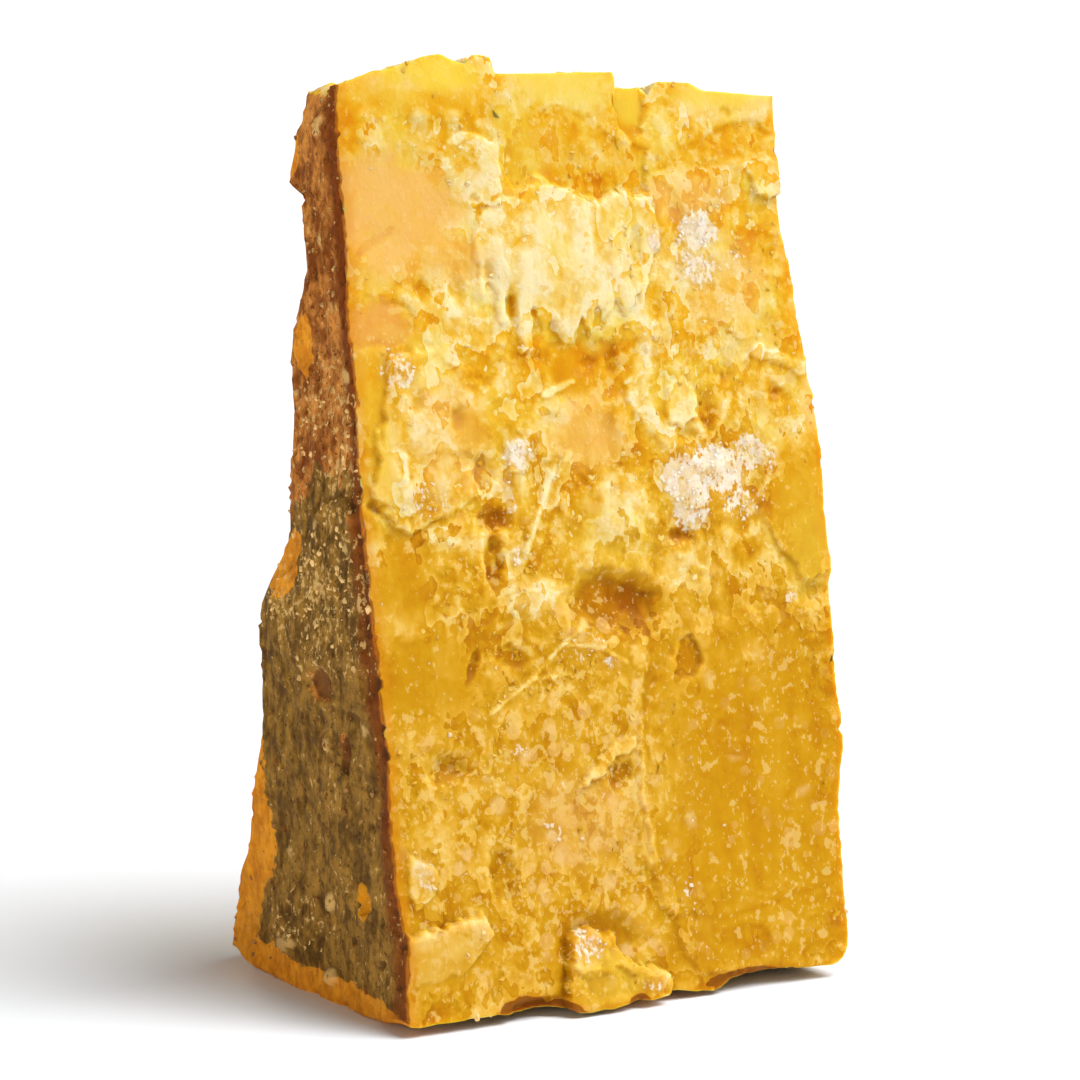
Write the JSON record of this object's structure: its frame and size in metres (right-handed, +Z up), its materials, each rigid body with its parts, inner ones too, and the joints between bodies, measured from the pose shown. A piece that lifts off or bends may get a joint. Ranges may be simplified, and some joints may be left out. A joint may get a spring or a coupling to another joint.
{
  "type": "aged alpine cheese wedge",
  "caption": "Tall wedge of aged alpine cheese standing on its rim rind, with brown rinds, a broken tip and a flaky, crystal-flecked golden cut face.",
  "frame": {"origin": "middle of the bounding box, on the surface that the wedge stands on", "axes": "+Z up from the rim rind to the broken tip; X across the wheel's thickness, the rind that shows at low X; the broken front cut faces -Y"},
  "size_m": [0.1182, 0.0936, 0.203],
  "materials": {
    "cheese": "matte to waxy golden paste with white crystals, and a rough brown rind"
  },
  "bodies": {
    "root": {"cheese_wedge": "cheese"}
  },
  "joints": []
}
